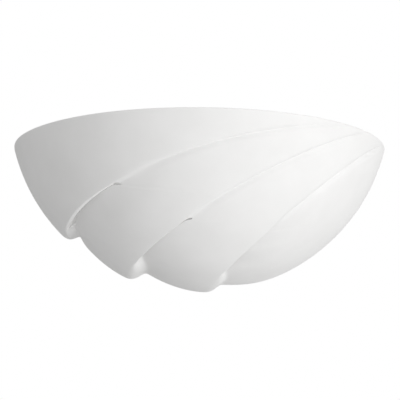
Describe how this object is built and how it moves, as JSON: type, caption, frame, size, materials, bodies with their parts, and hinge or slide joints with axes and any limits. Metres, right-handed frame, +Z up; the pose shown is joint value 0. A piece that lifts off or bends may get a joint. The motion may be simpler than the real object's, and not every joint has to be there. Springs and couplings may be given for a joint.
{
  "type": "wall sconce",
  "caption": "Shell-shaped ceramic half-bowl wall uplighter with overlapping lobes and open light slots, on a steel wall plate with a tilted lampholder.",
  "frame": {"origin": "middle of the two wall-fixing slots, in the wall plane", "axes": "+X right as seen from the room, +Y into the wall, +Z up"},
  "size_m": [0.36, 0.18, 0.1385],
  "materials": {
    "bisque": "matt unglazed white ceramic with a fine open grain",
    "plated_steel": "bright zinc-plated sheet steel",
    "plated_screw": "bright zinc-plated turned steel",
    "knurled_brass": "turned and knurled brass",
    "contact_brass": "stamped or drawn contact brass",
    "silicone": "soft translucent white silicone",
    "holder_plastic": "matt white heat-resisting moulding",
    "porcelain": "glazed white steatite",
    "lamp_cap_metal": "rolled nickel-plated screw cap",
    "lamp_glass_black": "black vitrite insulator",
    "lamp_plastic": "white moulded lamp body",
    "opal": "opal diffusing globe, unlit",
    "board": "white solder-masked circuit board",
    "led_yellow": "phosphor-coated chips",
    "terminal_nylon": "natural nylon moulding",
    "bushing_rubber": "black moulded rubber",
    "wire_brown": "brown silicone insulation",
    "wire_blue": "blue silicone insulation",
    "wire_earth": "green and yellow silicone insulation"
  },
  "bodies": {
    "fixture": {"shell": "bisque", "wall_plate": "plated_steel", "shell_studs": "plated_screw", "arm_rivets": "plated_screw", "lamp_arm": "plated_steel", "nipple_locknut": "plated_screw", "holder_nipple": "plated_screw", "holder_cap": "holder_plastic", "holder_skirt": "holder_plastic", "holder_core": "porcelain", "screw_shell": "contact_brass", "centre_contact": "contact_brass", "holder_terminal_screws": "contact_brass", "terminal_block": "terminal_nylon", "terminal_tubes": "contact_brass", "terminal_screws": "plated_screw", "block_screw": "plated_screw", "cable_bushing": "bushing_rubber", "earth_screw": "plated_screw", "earth_tag": "contact_brass", "earth_nut": "plated_screw", "live_wire": "wire_brown", "neutral_wire": "wire_blue", "earth_wire": "wire_earth"},
    "washer_left": {"cushion_washer_left": "silicone"},
    "nut_left": {"knurled_nut_left": "knurled_brass"},
    "washer_right": {"cushion_washer_right": "silicone"},
    "nut_right": {"knurled_nut_right": "knurled_brass"},
    "lamp": {"lamp_tip_contact": "lamp_cap_metal", "lamp_insulator": "lamp_glass_black", "lamp_screw_cap": "lamp_cap_metal", "lamp_body": "lamp_plastic", "lamp_globe": "opal", "led_board": "board", "driver_board": "board", "led_chips": "led_yellow"}
  },
  "joints": [
    {"name": "nut_left_travel", "type": "slide", "parent": "fixture", "child": "washer_left", "axis": [0, -1, 0], "range_m": [0, 0.012]},
    {"name": "nut_left_turn", "type": "hinge", "parent": "washer_left", "child": "nut_left", "pos_m": [-0.062, -0.022, 0], "axis": [0, -1, 0], "range_deg": [0, 6120]},
    {"name": "nut_right_travel", "type": "slide", "parent": "fixture", "child": "washer_right", "axis": [0, -1, 0], "range_m": [0, 0.012]},
    {"name": "nut_right_turn", "type": "hinge", "parent": "washer_right", "child": "nut_right", "pos_m": [0.062, -0.022, 0], "axis": [0, -1, 0], "range_deg": [0, 6120]},
    {"name": "lamp_removal", "type": "slide", "parent": "fixture", "child": "lamp", "axis": [0, -0.7431, 0.6691], "range_m": [0, 0.03]}
  ],
  "couplings": [
    {"joint": "nut_left_travel", "follows": "nut_left_turn", "m_per_rad": 0.00011141},
    {"joint": "nut_right_travel", "follows": "nut_right_turn", "m_per_rad": 0.00011141}
  ]
}
